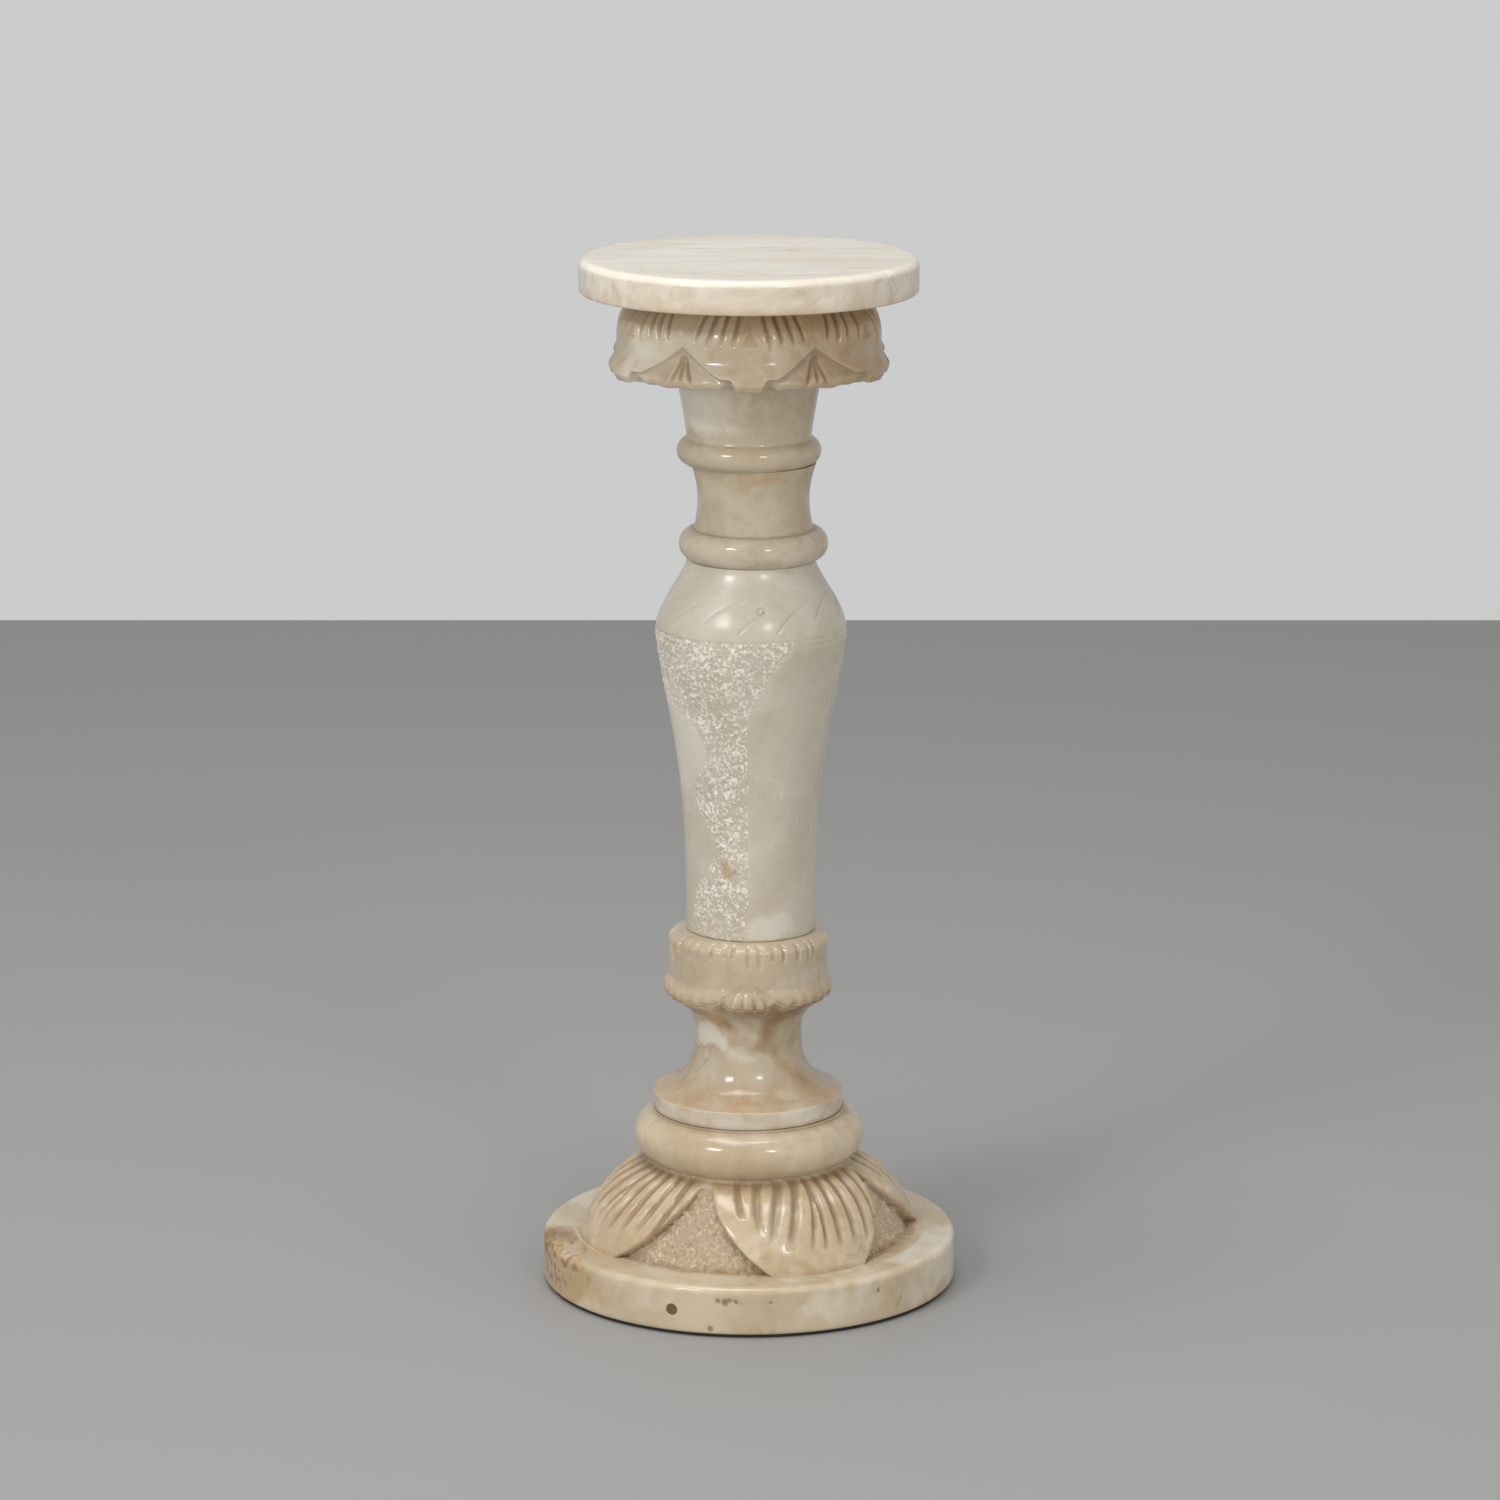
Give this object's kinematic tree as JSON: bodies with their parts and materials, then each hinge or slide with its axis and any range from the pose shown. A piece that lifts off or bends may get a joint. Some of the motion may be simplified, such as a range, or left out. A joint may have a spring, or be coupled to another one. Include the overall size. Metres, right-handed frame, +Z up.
{
  "type": "pedestal column",
  "caption": "Small turned stone pedestal column with leaf-carved capital, collar and base, and a flat round top plate for display.",
  "frame": {"origin": "centre of the felt pad's underside, where the column rests on the floor", "axes": "+Z up along the column's axis; -Y is the side the picture shows; +X is to the right in the picture"},
  "size_m": [0.28, 0.28, 0.7007],
  "materials": {
    "felt": "dark felt, matt",
    "base_stone": "polished cream translucent stone with tan and rust stains, rough sunk ground between the leaves",
    "body_stone": "polished cream translucent stone, part of it stippled",
    "capital_stone": "polished tan translucent stone, darker in the carving",
    "plate_stone": "highly polished pale cream translucent stone with faint veins"
  },
  "bodies": {
    "root": {"felt_pad": "felt", "base": "base_stone", "stem": "base_stone", "body": "body_stone", "neck": "capital_stone", "capital": "capital_stone", "top_plate": "plate_stone"}
  },
  "joints": []
}
